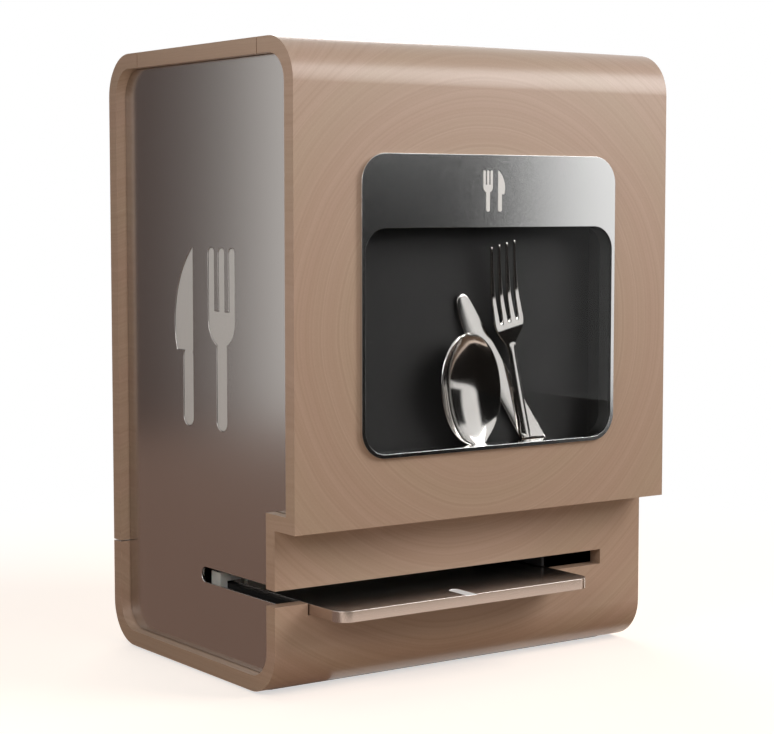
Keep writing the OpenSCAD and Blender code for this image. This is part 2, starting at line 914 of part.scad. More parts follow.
// The block behind the sill that the three handles stand in
module cutlery_holder() {
    color(dark) difference() {
        block([holder_x0, y_up_in, box_z0], [holder_x0 + holder_w, box_y1, box_z0 + holder_h]);
        handle_socket(knife_foot, knife_lean, knife_half, knife_y);
        handle_socket(fork_foot, fork_lean, handle_half, fork_y);
        handle_socket(spoon_foot, spoon_lean, handle_half, spoon_y, spoon_tip);
    }
}

// ---- Magazine ----

module magazine_front() {
    color(zinc) difference() {
        block([mag_x0 - mag_t - flange, y_low_in, mag_bot], [mag_x1 + mag_t + flange, mag_y0, mag_top]);
        placed(magazine_screw_points(), [-90, 0, 0]) screw(mag_screw_l, screw_r, csk_fit);
        rivet_holes();
    }
}

module magazine_back() {
    color(zinc) difference() {
        block([mag_x0 - mag_t - flange, mag_y1, mag_bot], [mag_x1 + mag_t + flange, mag_y1 + mag_t, mag_top]);
        block([mag_cx - sight_w / 2, mag_y1 - past, sight_z0],
              [mag_cx + sight_w / 2, mag_y1 + mag_t + past, sight_z1]);
        placed(standoff_points(mag_y1), [90, 0, 0]) screw(standoff_screw_l, screw_r, csk_fit);
        rivet_holes();
    }
}

// A side wall with its two flanges; side is -1 on the left and 1 on the right
module magazine_side(face, side, bottom) {
    wall = face + side * mag_t;
    outer = wall + side * flange;
    color(zinc) difference() {
        union() {
            block([min(face, wall), mag_y0, bottom], [max(face, wall), mag_y1, mag_top]);
            for (y = [mag_y0, mag_y1 - mag_t]) {
                block([min(face, outer), y, mag_bot], [max(face, outer), y + mag_t, mag_top]);
            }
        }
        rivet_holes();
    }
}

module magazine_left() {
    magazine_side(mag_x0, -1, mag_bot);
}

module magazine_right() {
    magazine_side(mag_x1, 1, slot_z0 + wall_lift);
}

module rivet_holes() {
    for (p = rivet_points()) {
        translate(p - [0, mag_t + past, 0]) rotate([-90, 0, 0]) cylinder(r = rivet_r, h = 2 * (mag_t + past));
    }
}

module magazine_rivets() {
    color(steel) for (p = rivet_points()) {
        translate(p - [0, mag_t, 0]) rotate([-90, 0, 0]) cylinder(r = rivet_r, h = 2 * mag_t);
    }
}

module magazine_screws() {
    color(zinc) placed(magazine_screw_points(), [-90, 0, 0]) screw(mag_screw_l);
}

module rear_standoffs() {
    color(steel) difference() {
        placed(standoff_points(y_back_in), [90, 0, 0]) cylinder(d = standoff_d, h = y_back_in - mag_y1 - mag_t);
        placed(standoff_points(y_b), [-90, 0, 0]) screw(standoff_screw_l, screw_r, csk_fit);
        placed(standoff_points(mag_y1), [90, 0, 0]) screw(standoff_screw_l, screw_r, csk_fit);
    }
}

module standoff_screws() {
    color(zinc) {
        placed(standoff_points(y_b), [-90, 0, 0]) screw(standoff_screw_l);
        placed(standoff_points(mag_y1), [90, 0, 0]) screw(standoff_screw_l);
    }
}

// ---- Plate and what carries it ----

// The shallow groove in the plate's top: open at the front edge and round at its back end
module groove() {
    round_y = plate_y0 + groove_l - groove_w / 2;
    upward(slot_z0 - groove_t, slot_z0 + past) {
        panel_2d([plate_cx - groove_w / 2, plate_y0 - past], [plate_cx + groove_w / 2, round_y]);
        translate([plate_cx, round_y]) circle(groove_w / 2);
    }
}

module dispensing_plate() {
    color(polished) difference() {
        upward(plate_z0, slot_z0) plate_plan(0);
        upward(plate_z0 - past, slot_z0 - plate_skin) plate_plan(plate_skin);
        groove();
    }
}

// The bar on the plate that pushes the lowest set out
module pusher_bar() {
    color(nylon) block([mag_x0 + pusher_in, pusher_y1 - pusher_t, slot_z0],
                       [mag_x1 - pusher_in, pusher_y1, slot_z0 + pusher_h]);
}

// Two stops under the plate that meet the lower front's inner face at full travel
module travel_stops() {
    y0 = y_low_in + plate_travel + slide_gap;
    color(dark) for (x = [plate_cx - stop_x, plate_cx + stop_x]) {
        block([x - stop_w / 2, y0, plate_z0 - stop_drop], [x + stop_w / 2, y0 + stop_t, slot_z0 - plate_skin]);
    }
}

module spring_pins() {
    color(zinc) for (x = [-spring_x, spring_x]) {
        translate([plate_cx + x, spring_y0, spring_z - pin_below])
            cylinder(r = hook_pin_r, h = slot_z0 - plate_skin - spring_z + pin_below);
    }
}

// Two extension springs, hooked on the plate's pins and on the anchor's pins
module return_springs() {
    ring_r = hook_pin_r + spring_wire / 2 + hook_fit;
    coil_end = ring_r + 1;
    coil_l = spring_l - 2 * coil_end;
    color(zinc) for (x = [-spring_x, spring_x]) {
        translate([plate_cx + x, 0, spring_z]) {
            translate([0, spring_y0 + coil_end, 0]) rotate([-90, 0, 0]) difference() {
                cylinder(d = spring_d, h = coil_l);
                translate([0, 0, spring_plug]) cylinder(d = spring_d - 2 * spring_wire, h = coil_l - 2 * spring_plug);
            }
            for (y = [spring_y0, spring_y1]) {
                translate([0, y, 0]) rotate_extrude() translate([ring_r, 0]) circle(d = spring_wire);
            }
        }
    }
}

// A sheet bracket on the base weight whose pins hold the springs' rear hooks
module spring_anchor() {
    shelf_z = spring_z - shelf_drop;
    x0 = plate_cx - anchor_w / 2;
    x1 = plate_cx + anchor_w / 2;
    y0 = spring_y1 - anchor_half;
    y1 = spring_y1 + anchor_half;
    color(zinc) difference() {
        union() {
            block([x0, y0 - anchor_foot, base_z], [x1, y1, base_z + bearer_t]);
            block([x0, y1 - bearer_t, base_z], [x1, y1, shelf_z]);
            block([x0, y0, shelf_z - bearer_t], [x1, y1, shelf_z]);
            for (x = [-spring_x, spring_x]) {
                translate([plate_cx + x, spring_y1, shelf_z - past]) cylinder(r = hook_pin_r, h = anchor_pin_l);
            }
        }
        placed(anchor_screw_points()) screw(anchor_screw_l, screw_r, csk_fit);
    }
}

module anchor_screws() {
    color(zinc) placed(anchor_screw_points()) screw(anchor_screw_l);
}

// A guide for one edge of the plate; side is -1 on the left and 1 on the right
module runner(edge, side) {
    wall_in = edge + side * slide_gap;
    wall_out = edge + side * runner_out;
    lip = edge - side * runner_in;
    color(nylon) {
        block([min(lip, wall_out), runner_y0, bearer_z], [max(lip, wall_out), plate_y1, bearer_z + runner_t]);
        block([min(wall_in, wall_out), runner_y0, bearer_z],
              [max(wall_in, wall_out), plate_y1, slot_z0 - plate_skin]);
    }
}

module left_runner() {
    runner(plate_x0, -1);
}

module right_runner() {
    runner(plate_x1, 1);
}

// A folded sheet channel between the base weight and a runner
module bearer(edge, side) {
    outer = edge + side * bearer_out;
    inner = edge - side * bearer_in;
    web = outer - side * bearer_t;
    color(zinc) difference() {
        union() {
            for (z = [base_z, bearer_z - bearer_t]) {
                block([min(inner, outer), bearer_y0, z], [max(inner, outer), bearer_y1, z + bearer_t]);
            }
            block([min(web, outer), bearer_y0, base_z], [max(web, outer), bearer_y1, bearer_z]);
        }
        placed(base_screw_points()) screw(base_screw_l, screw_r, csk_fit);
        placed(bridge_screw_points()) bridge_screw(csk_fit);
    }
}

module left_bearer() {
    bearer(plate_x0, -1);
}

module right_bearer() {
    bearer(plate_x1, 1);
}

// The bridge over the plate's tail that keeps its front from tipping down
module hold_down_bridge() {
    color(nylon) difference() {
        union() {
            block([bearer_x0, bridge_y, slot_z0 + slide_gap], [bearer_x1, bridge_y + bridge_d, bridge_top]);
            for (x = [bearer_x0, bearer_x1 - bridge_leg]) {
                block([x, bridge_y, bearer_z], [x + bridge_leg, bridge_y + bridge_d, bridge_top]);
            }
        }
        placed(bridge_screw_points()) bridge_screw(csk_fit);
    }
}

// A slim countersunk screw down through a leg of the bridge
module bridge_screw(grow = 0) {
    screw(bridge_screw_l, slim_screw_r, grow, slim_head_r);
}

module bridge_screws() {
    color(zinc) placed(bridge_screw_points()) bridge_screw();
}

module rear_buffers() {
    y0 = plate_y1 + slide_gap;
    color(rubber) for (x = [plate_x0 + buffer_in, plate_x1 - buffer_in - buffer_w]) {
        block([x, y0, bearer_z], [x + buffer_w, bearer_y1, slot_z0]);
    }
}

// ---- Base ----

module base_weight() {
    color(iron) difference() {
        block([panel_xl + base_gap, base_y0, z_in], [panel_xr - base_gap, base_y1, base_z]);
        placed(base_screw_points()) screw(base_screw_l, screw_r, csk_fit);
        placed(anchor_screw_points()) screw(anchor_screw_l, screw_r, csk_fit);
    }
}

module base_screws() {
    color(zinc) placed(base_screw_points()) screw(base_screw_l);
}

module grip_mat() {
    color(rubber) upward(0, mat_t)
        rounded([x_l + mat_in, y_low + corner_r], [x_r - mat_in, y_b - corner_r], mat_r);
}

// ---- Follower ----

module follower_plate() {
    color(zinc) difference() {
        block([mag_x0 + follower_in, mag_y0 + follower_in, follower_z],
              [mag_x1 - follower_in, mag_y1 - follower_in, weight_z]);
        translate([mag_cx, mag_cy, follower_z]) rotate([180, 0, 0]) screw(follower_screw_l, screw_r, csk_fit);
    }
}

module follower_weight() {
    color(iron) difference() {
        upward(weight_z, knob_z)
            rounded([mag_x0 + weight_in, mag_y0 + weight_gap], [mag_x1 - weight_in, mag_y1 - weight_gap], weight_r);
        translate([mag_cx, mag_cy, follower_z]) rotate([180, 0, 0]) screw(follower_screw_l, screw_r, csk_fit);
    }
}

// Four corner pads that keep the follower square in the magazine
module follower_pads() {
    x0 = mag_x0 + slide_gap;
    x1 = mag_x1 - slide_gap;
    y0 = mag_y0 + slide_gap;
    y1 = mag_y1 - slide_gap;
    color(nylon) for (x = [x0, x1 - pad], y = [y0, y1 - pad]) {
        block([x, y, weight_z], [x + pad, y + pad, weight_z + pad]);
    }
}

module follower_knob() {
    r = knob_d / 2;
    stem = r * 0.45;
    cap_z0 = knob_h * 0.6 + knob_round;
    cap_z1 = knob_h - knob_round;
    color(dark) translate([mag_cx, mag_cy, knob_z]) difference() {
        rotate_extrude() {
            panel_2d([0, 0], [stem + knob_foot, knob_foot]);
            panel_2d([0, 0], [stem, cap_z1]);
            panel_2d([0, cap_z0 - knob_round], [r - knob_round, knob_h]);
            panel_2d([0, cap_z0], [r, cap_z1]);
            for (z = [cap_z0, cap_z1]) translate([r - knob_round, z]) circle(knob_round);
        }
        translate([0, 0, -past]) cylinder(r = screw_r + csk_fit, h = knob_hole + past);
    }
}

module follower_screw() {
    color(zinc) translate([mag_cx, mag_cy, follower_z]) rotate([180, 0, 0]) screw(follower_screw_l);
}

// ---- Lid and its hinge ----

module top_lid() {
    color(wood) difference() {
        across(x_l, x_r) intersection() {
            band();
            lid_region(-seam_gap);
        }
        hinge_groove();
        leaf_recess(seam_b - leaf_in - leaf_t, seam_b + past);
        placed(leaf_screw_points(-1), [-90, 0, 0]) leaf_screw(csk_fit);
        for (x = magnet_x) {
            translate([x, magnet_y, z_lid_in - past]) cylinder(r = magnet_r, h = past + striker_t);
        }
    }
}

module lid_strikers() {
    color(zinc) for (x = magnet_x) {
        translate([x, magnet_y, z_lid_in]) cylinder(r = magnet_r, h = striker_t);
    }
}

module leaf_screw(grow = 0) {
    head = leaf_head_r + grow;
    shank = leaf_screw_r + grow;
    end = -leaf_screw_l - grow;
    rotate_extrude() polygon([
        [0, grow], [head, grow], [head, 0], [shank, -leaf_head_h], [shank, end], [0, end],
    ]);
}

// One leaf with every second knuckle: side is 1 on the cabinet's leaf and -1 on the lid's leaf
module hinge_leaf(side) {
    first = side > 0 ? 0 : 1;
    y0 = seam_b + side * leaf_in;
    y1 = y0 + side * leaf_t;
    color(zinc) difference() {
        union() {
            difference() {
                block([hinge_x0, min(y0, y1), z_t - leaf_h], [hinge_x1, max(y0, y1), z_t - leaf_down]);
                for (i = [1 - first : 2 : knuckles - 1]) knuckle(i, knuckle_r + knuckle_room, knuckle_room);
            }
            for (i = [first : 2 : knuckles - 1]) knuckle(i, knuckle_r, -knuckle_gap);
        }
        translate([hinge_x0 - past, seam_b, z_t]) rotate([0, 90, 0])
            cylinder(r = pin_r + pin_fit, h = hinge_x1 - hinge_x0 + 2 * past);
        placed(leaf_screw_points(side), [side * 90, 0, 0]) leaf_screw(csk_fit);
    }
}

// The space of knuckle i, with its ends grown by a given length
module knuckle(i, r, grow) {
    translate([hinge_x0 + i * knuckle_l - grow, seam_b, z_t]) rotate([0, 90, 0])
        cylinder(r = r, h = knuckle_l + 2 * grow);
}

module hinge_body_leaf() {
    hinge_leaf(1);
}

module hinge_lid_leaf() {
    hinge_leaf(-1);
}

module hinge_pin() {
    color(steel) translate([hinge_x0, seam_b, z_t]) rotate([0, 90, 0]) cylinder(r = pin_r, h = hinge_x1 - hinge_x0);
}

module hinge_body_screws() {
    color(zinc) placed(leaf_screw_points(1), [90, 0, 0]) leaf_screw();
}

module hinge_lid_screws() {
    color(zinc) placed(leaf_screw_points(-1), [-90, 0, 0]) leaf_screw();
}

front_shell();
back_shell();
left_side_panel();
right_side_panel();
side_sign_backing();
window_frame();
header_sign();
window_pane();
display_box();
display_knife();
display_fork();
display_spoon();
cutlery_holder();
display_box_screws();
frame_nuts();
magazine_front();
magazine_back();
magazine_left();
magazine_right();
magazine_rivets();
magazine_screws();
rear_standoffs();
standoff_screws();
left_runner();
right_runner();
left_bearer();
right_bearer();
hold_down_bridge();
bridge_screws();
rear_buffers();
spring_anchor();
anchor_screws();
return_springs();
base_weight();
base_screws();
grip_mat();
left_battens();
right_battens();
back_splice();
lid_rest_blocks();
lid_magnets();
hinge_body_leaf();
hinge_pin();
hinge_body_screws();
dispensing_plate();
pusher_bar();
travel_stops();
spring_pins();
follower_plate();
follower_weight();
follower_pads();
follower_knob();
follower_screw();
top_lid();
lid_strikers();
hinge_lid_leaf();
hinge_lid_screws();
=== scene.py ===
import json
import math

import bmesh
import bpy
from mathutils import Matrix, Vector


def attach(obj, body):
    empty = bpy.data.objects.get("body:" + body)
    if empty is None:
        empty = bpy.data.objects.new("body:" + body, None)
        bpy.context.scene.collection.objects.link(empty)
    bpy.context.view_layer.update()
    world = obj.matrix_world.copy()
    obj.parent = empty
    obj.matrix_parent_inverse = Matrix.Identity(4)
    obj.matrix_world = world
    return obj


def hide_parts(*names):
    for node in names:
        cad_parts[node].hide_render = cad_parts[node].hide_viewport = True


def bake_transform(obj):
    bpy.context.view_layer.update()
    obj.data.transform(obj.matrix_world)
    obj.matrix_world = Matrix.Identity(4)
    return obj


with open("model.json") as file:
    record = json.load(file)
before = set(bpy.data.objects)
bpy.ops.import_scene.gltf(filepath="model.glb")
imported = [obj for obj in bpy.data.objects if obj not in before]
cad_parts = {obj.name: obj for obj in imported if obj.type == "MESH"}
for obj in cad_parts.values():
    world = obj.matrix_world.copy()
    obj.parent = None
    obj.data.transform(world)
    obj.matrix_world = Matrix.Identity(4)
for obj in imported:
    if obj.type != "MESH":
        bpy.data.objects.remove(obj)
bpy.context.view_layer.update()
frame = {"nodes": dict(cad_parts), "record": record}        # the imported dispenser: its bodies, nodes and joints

nodes = frame["nodes"]
MM = 0.001
WHITE = (1, 1, 1, 1)


def placed(name, data):
    """A new object in the scene, with that mesh, lamp or camera."""
    made = bpy.data.objects.new(name, data)
    bpy.context.scene.collection.objects.link(made)
    return made


# ---- Small helpers for materials ----


def linear(hex_colour):
    """An sRGB hex colour as the linear colour that a shader takes."""
    channels = [int(hex_colour[i:i + 2], 16) / 255 for i in (1, 3, 5)]
    return [c / 12.92 if c <= 0.04045 else ((c + 0.055) / 1.055) ** 2.4 for c in channels] + [1.0]


def add(tree, kind, values=None, **settings):
    """Adds one node: settings are its properties, values its sockets' numbers or links."""
    made = tree.nodes.new(kind)
    for name, value in settings.items():
        setattr(made, name, value)
    for socket, value in (values or {}).items():
        if isinstance(value, bpy.types.NodeSocket):
            tree.links.new(value, made.inputs[socket])
        else:
            made.inputs[socket].default_value = value
    return made


def new_material(name, **constants):
    """A material with its numbers set on the shader's own sockets, and its object coordinates."""
    made = bpy.data.materials.new(name)
    made.use_nodes = True
    tree = made.node_tree
    shader = tree.nodes["Principled BSDF"]
    for socket, value in constants.items():
        shader.inputs[socket.replace("_", " ")].default_value = value
    place = add(tree, "ShaderNodeTexCoord").outputs["Object"]
    return made, tree, shader, place


def per_metre(millimetres):
    """The scale of a noise whose features are that many millimetres across."""
    return 1000 / millimetres


def mixed(tree, factor, first, second):
    """One colour that runs from first to second, each of them a hex colour or a link."""
    node = add(tree, "ShaderNodeMix", data_type="RGBA")
    tree.links.new(factor, node.inputs[0])
    for socket, value in ((node.inputs[6], first), (node.inputs[7], second)):
        if isinstance(value, bpy.types.NodeSocket):
            tree.links.new(value, socket)
        else:
            socket.default_value = linear(value)
    return node.outputs[2]


def ranged(tree, value, low, high):
    """A value from 0 to 1, brought between low and high."""
    return add(tree, "ShaderNodeMapRange", {0: value, 3: low, 4: high}).outputs[0]


def math_of(tree, operation, *values):
    """The result of one sum on some values."""
    return add(tree, "ShaderNodeMath", dict(enumerate(values)), operation=operation).outputs[0]


def speckle(tree, place, millimetres, detail, roughness=0.5):
    """Uneven spots from 0 to 1, about that many millimetres across."""
    values = {"Vector": place, "Scale": per_metre(millimetres), "Detail": detail, "Roughness": roughness}
    return add(tree, "ShaderNodeTexNoise", values).outputs["Fac"]


def stretched(tree, place, scale):
    """The place, for a pattern that runs long where the scale is small."""
    return add(tree, "ShaderNodeMapping", {"Vector": place, "Scale": scale}).outputs[0]


def surface(tree, shader, colour, roughness):
    """Links a pattern's colour and roughness to a shader."""
    tree.links.new(colour, shader.inputs["Base Color"])
    tree.links.new(roughness, shader.inputs["Roughness"])


def bumped(tree, shader, height, strength, depth_mm):
    """Gives a shader a bump from a height."""
    bump = add(tree, "ShaderNodeBump", {"Strength": strength, "Distance": depth_mm * MM, "Height": height})
    tree.links.new(bump.outputs[0], shader.inputs["Normal"])


# ---- Materials ----

# The growth arcs of the front's wood run round an axis from front to back, through the window's middle
FRONT_ARCS = Vector((-2, 0, 237)) * MM
# Those of the back's veneer run round an axis far below it
BACK_ARCS = Vector((70, 0, -420)) * MM
# The arcs wander by a few millimetres, as the trunk did
ARC_WANDER = 8 * MM
# The plate's thumb groove: its middle, half its width, and heights just below and above its floor
GROOVE_X, GROOVE_HALF = -25.5 * MM, 4.6 * MM
GROOVE_LOW, GROOVE_HIGH = 60.5 * MM, 60.8 * MM


def beech_plywood(name, centre):
    """Bent beech plywood, sanded and lacquered satin: tan, with fine and uneven growth arcs."""
    made, tree, shader, place = new_material(
        name, Coat_Weight=0.6, Coat_Roughness=0.3, Specular_IOR_Level=0.5)
    centred = add(tree, "ShaderNodeMapping", {"Vector": place, "Location": -centre}).outputs[0]
    flat = add(tree, "ShaderNodeVectorMath", {0: centred, 1: (1, 0, 1)}, operation="MULTIPLY").outputs[0]
    radius = add(tree, "ShaderNodeVectorMath", {0: flat}, operation="LENGTH").outputs["Value"]
    arc = math_of(tree, "MULTIPLY_ADD", speckle(tree, place, 110, 2.0), ARC_WANDER, radius)

    def arcs(millimetres, detail, roughness=0.5):
        """Uneven bands along the arcs, about that many millimetres apart."""
        return add(tree, "ShaderNodeTexNoise",
                   {"W": arc, "Scale": per_metre(millimetres), "Detail": detail, "Roughness": roughness},
                   noise_dimensions="1D").outputs["Fac"]

    # Bands of pinker and greener wood, year rings, and fine lines of late wood between them
    bands = arcs(34, 1.0)
    years = arcs(6, 2.0)
    lines = arcs(1.7, 2.0, 0.6)
    pores = speckle(tree, place, 1.1, 2.0, 0.6)
    base = mixed(tree, ranged(tree, bands, -0.8, 1.8), "#AD937C", "#AE8F7B")
    ringed = mixed(tree, ranged(tree, years, -0.08, 0.52), base, "#96795F")
    lined = mixed(tree, ranged(tree, lines, -0.2, 0.45), ringed, "#8C6E57")
    grained = mixed(tree, ranged(tree, pores, -0.14, 0.22), lined, "#846650")
    surface(tree, shader, grained, ranged(tree, pores, 0.44, 0.58))
    bumped(tree, shader, lines, 0.08, 0.05)
    return made


def planed_wood():
    """Planed beech and birch inside, unfinished: paler and matt, with a straight grain."""
    made, tree, shader, place = new_material("planed_inner_wood", Roughness=0.7)
    grain = speckle(tree, stretched(tree, place, (1.0, 1.0, 0.08)), 1.6, 5.0)
    tree.links.new(mixed(tree, grain, "#CBAE8C", "#A98862"), shader.inputs["Base Color"])
    bumped(tree, shader, grain, 0.2, 0.1)
    return made


def satin_stainless(name="stainless_steel_satin", roughness=0.19, dark="#BEB9B4", pale="#D0CCC8"):
    """Stainless steel sheet, finely blasted: a soft mirror with a fine grain."""
    made, tree, shader, place = new_material(name, Metallic=1.0)
    # The blasted grain is under 0.1 mm, and is drawn about 1 mm wide so that it shows
    grain = speckle(tree, place, 1.2, 3.0, 0.7)
    tone = mixed(tree, ranged(tree, grain, -0.1, 1.1), dark, pale)
    clouded = mixed(tree, ranged(tree, speckle(tree, place, 60, 2.0), 0.0, 0.2), tone, "#B9B4AE")
    surface(tree, shader, clouded, ranged(tree, grain, roughness - 0.05, roughness + 0.05))
    bumped(tree, shader, grain, 0.12, 0.04)
    return made


def ground_stainless():
    """Stainless steel plate, ground and buffed: nearly a mirror, with faint lines across."""
    made, tree, shader, place = new_material("stainless_steel_ground", Metallic=1.0)
    # Grinding lines are about 0.1 mm apart, and are drawn about 0.6 mm apart so that they show
    lines = speckle(tree, stretched(tree, place, (0.03, 1.0, 1.0)), 0.6, 3.0)
    # The thumb groove's floor is blasted: pale and matt
    at = add(tree, "ShaderNodeSeparateXYZ", {0: place}).outputs
    across = math_of(tree, "COMPARE", at[0], GROOVE_X, GROOVE_HALF)
    below = math_of(tree, "LESS_THAN", at[2], GROOVE_HIGH)
    above = math_of(tree, "GREATER_THAN", at[2], GROOVE_LOW)
    groove = math_of(tree, "MULTIPLY", across, math_of(tree, "MULTIPLY", below, above))
    sheet = mixed(tree, lines, "#C6BCB5", "#D6CEC8")
    surface(tree, shader, mixed(tree, groove, sheet, "#E8EAEA"),
            math_of(tree, "MULTIPLY_ADD", groove, 0.5, ranged(tree, lines, 0.16, 0.26)))
    bumped(tree, shader, lines, 0.06, 0.03)
    return made


def polished_stainless():
    """Polished 18/10 stainless steel cutlery: a mirror, with a breath of handling marks."""
    made, tree, shader, place = new_material("stainless_steel_polished", Metallic=1.0)
    marks = speckle(tree, place, 14, 4.0)
    surface(tree, shader, mixed(tree, marks, "#CFC9C4", "#DAD6D2"), ranged(tree, marks, 0.05, 0.13))
    return made


def galvanised_sheet():
    """Galvanised steel sheet: a cool grey with pale spangles about a centimetre across."""
    made, tree, shader, place = new_material("galvanised_sheet", Metallic=1.0)
    spangle = add(tree, "ShaderNodeTexVoronoi", {"Vector": place, "Scale": per_metre(9)}, feature="F1")
    shade = add(tree, "ShaderNodeSeparateColor", {0: spangle.outputs["Color"]}).outputs[0]
    surface(tree, shader, mixed(tree, shade, "#8F9396", "#A9ADAF"), ranged(tree, shade, 0.38, 0.52))
    return made


def zinc_plated():
    """Bright zinc plating on screws, pins, springs and magnets: slightly blue, with small rubbed spots."""
    made, tree, shader, place = new_material("zinc_plated_steel", Metallic=1.0)
    rub = speckle(tree, place, 3, 3.0)
    surface(tree, shader, mixed(tree, rub, "#A3A6A8", "#C2C3C2"), ranged(tree, rub, 0.22, 0.4))
    return made


def anodised_sign():
    """Matt anodised aluminium behind the side sign and on the header: an even pale grey."""
    made, tree, shader, place = new_material("matt_anodised_aluminium", Metallic=0.25)
    grain = speckle(tree, place, 0.9, 2.0)
    surface(tree, shader, mixed(tree, grain, "#C4C2BF", "#D2D0CD"), ranged(tree, grain, 0.42, 0.52))
    return made


def clear_acrylic():
    """Cast acrylic, coated against reflections, which lowers its index: clear, with hardly any haze."""
    made, tree, shader, place = new_material(
        "clear_cast_acrylic", Transmission_Weight=1.0, IOR=1.2, Base_Color=linear("#FBFCFC"))
    haze = speckle(tree, place, 40, 3.0)
    tree.links.new(ranged(tree, haze, 0.0, 0.02), shader.inputs["Roughness"])
    return made


def moulded_abs():
    """Black ABS, moulded with a fine matt grain: a warm black that shows soft edges."""
    made, tree, shader, place = new_material("black_moulded_abs", Specular_IOR_Level=0.15)
    grain = speckle(tree, place, 0.8, 2.0)
    surface(tree, shader, mixed(tree, grain, "#1C1B1A", "#232221"), ranged(tree, grain, 0.5, 0.62))
    return made


def sliding_nylon():
    """Natural nylon bridge, pusher bar and pads: milky white, waxy, and a little greyed in spots by wear."""
    made, tree, shader, place = new_material("natural_nylon", Subsurface_Weight=0.1, Subsurface_Scale=0.002)
    rub = speckle(tree, place, 7, 3.0)
    surface(tree, shader, mixed(tree, rub, "#E6E3DB", "#D3CFC6"), ranged(tree, rub, 0.35, 0.5))
    return made


def moulded_rubber():
    """Black EPDM rubber: dark, dull, with a pebbled face."""
    made, tree, shader, place = new_material("black_epdm_rubber", Specular_IOR_Level=0.3)
    pebble = add(tree, "ShaderNodeTexVoronoi", {"Vector": place, "Scale": per_metre(1.4)}).outputs["Distance"]
    surface(tree, shader, mixed(tree, pebble, "#1E1E1F", "#2C2C2D"), ranged(tree, pebble, 0.7, 0.85))
    bumped(tree, shader, pebble, 0.3, 0.15)
    return made


def painted_steel_block():
    """Steel weights, dipped in black primer: nearly matt, with a slight orange peel."""
    made, tree, shader, place = new_material("black_primed_steel", Specular_IOR_Level=0.45)
    peel = speckle(tree, place, 2, 2.0)
    surface(tree, shader, mixed(tree, peel, "#3A3C3F", "#47494C"), ranged(tree, peel, 0.45, 0.6))
    bumped(tree, shader, peel, 0.2, 0.1)
    return made


def black_coat_and_painted_shade():
    """Matt black powder coat on folded sheet steel: soft and dark, with a fine orange peel. On the magazine and
    bearers its black is also painted shade, which keeps the inside of the slot dark.
    """
    made, tree, shader, place = new_material("black_coat_and_painted_shade", Specular_IOR_Level=0.35)
    peel = speckle(tree, place, 1.5, 3.0)
    surface(tree, shader, mixed(tree, peel, "#202021", "#2B2B2C"), ranged(tree, peel, 0.55, 0.7))
    bumped(tree, shader, peel, 0.15, 0.06)
    return made


plywood = beech_plywood("beech_plywood_satin_lacquer", FRONT_ARCS)
back_plywood = beech_plywood("beech_plywood_back_veneer", BACK_ARCS)
inner_wood = planed_wood()
satin = satin_stainless()
header_satin = satin_stainless("stainless_steel_fine_satin", 0.13, "#E4E4E3", "#ECECEB")
ground = ground_stainless()
polished = polished_stainless()
galvanised = galvanised_sheet()
zinc = zinc_plated()
anodised = anodised_sign()
acrylic = clear_acrylic()
black_abs = moulded_abs()
nylon = sliding_nylon()
rubber = moulded_rubber()
primed = painted_steel_block()
# On the sheets inside the slot this black is painted shade as well as their coat
slot_shade_coat = black_coat_and_painted_shade()

# Inside the slot, the magazine and bearers take the black sheet and the runners the black plastic: painted shade
# as well as their own colours, which keeps the slot dark
FINISH = {
    "plywood": plywood, "inner_wood": inner_wood, "satin_steel": satin, "polished_steel": polished,
    "zinc_sheet": galvanised, "zinc_hardware": zinc, "pale_sign": anodised, "clear_pane": acrylic,
    "black_plastic": black_abs, "white_nylon": nylon, "black_rubber": rubber, "iron_weight": primed,
    "black_sheet": slot_shade_coat,
}
OWN_FINISH = {"window_frame": header_satin, "dispensing_plate": ground, "back_shell": back_plywood}
slot_of = {part["node"]: part["material_slot"] for part in frame["record"]["subparts"]}
finish_of = {name: OWN_FINISH.get(name, FINISH[slot_of[name]]) for name in nodes}
for name, node in nodes.items():
    for place in node.material_slots:
        place.link = "OBJECT"
        place.material = finish_of[name]

# ---- Small helpers for meshes ----

SAME_PLACE = 0.001 * MM             # points nearer than this are one point
SAME_PLANE = math.radians(0.5)      # faces that turn less than this are one face
SHARP = math.radians(35)            # edges that turn more than this are eased
body_of = {node: body for body, names in frame["record"]["behaviour"]["bodies"].items() for node in names}


def merged(mesh):
    """A mesh's shape to work on, with its loose triangles joined at their corners."""
    shape = bmesh.new()
    shape.from_mesh(mesh)
    bmesh.ops.remove_doubles(shape, verts=shape.verts, dist=SAME_PLACE)
    return shape


def new_piece(name, mesh, finish, node):
    """Puts a finished mesh in the scene as a piece that stands for a CAD node and rides with it."""
    piece = placed(name, mesh)
    mesh.materials.clear()
    mesh.materials.append(finish)
    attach(piece, body_of[node])
    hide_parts(node)
    return piece


def eased(node, edge_mm):
    """A copy of a CAD node, merged, with its edges eased by a small round."""
    mesh = nodes[node].data.copy()
    shape = merged(mesh)
    bmesh.ops.dissolve_limit(shape, angle_limit=SAME_PLANE, verts=shape.verts, edges=shape.edges)
    shape.to_mesh(mesh)
    shape.free()
    mesh.shade_smooth()
    piece = new_piece(node + "_eased", mesh, finish_of[node], node)
    bevel = piece.modifiers.new("eased_edges", "BEVEL")
    bevel.width = edge_mm * MM
    bevel.segments = 3
    bevel.limit_method = "ANGLE"
    bevel.angle_limit = SHARP
    even = piece.modifiers.new("flat_faces_stay_flat", "WEIGHTED_NORMAL")
    even.weight = 100


# ---- Springs and screws, by Geometry Nodes ----

RING_OFF = 1            # millimetres from a spring's ring to its coil
SCREW_SIDES = 32
SCREW_HEAD_DEEP = 2.0   # millimetres from a screw's top to its straight shank


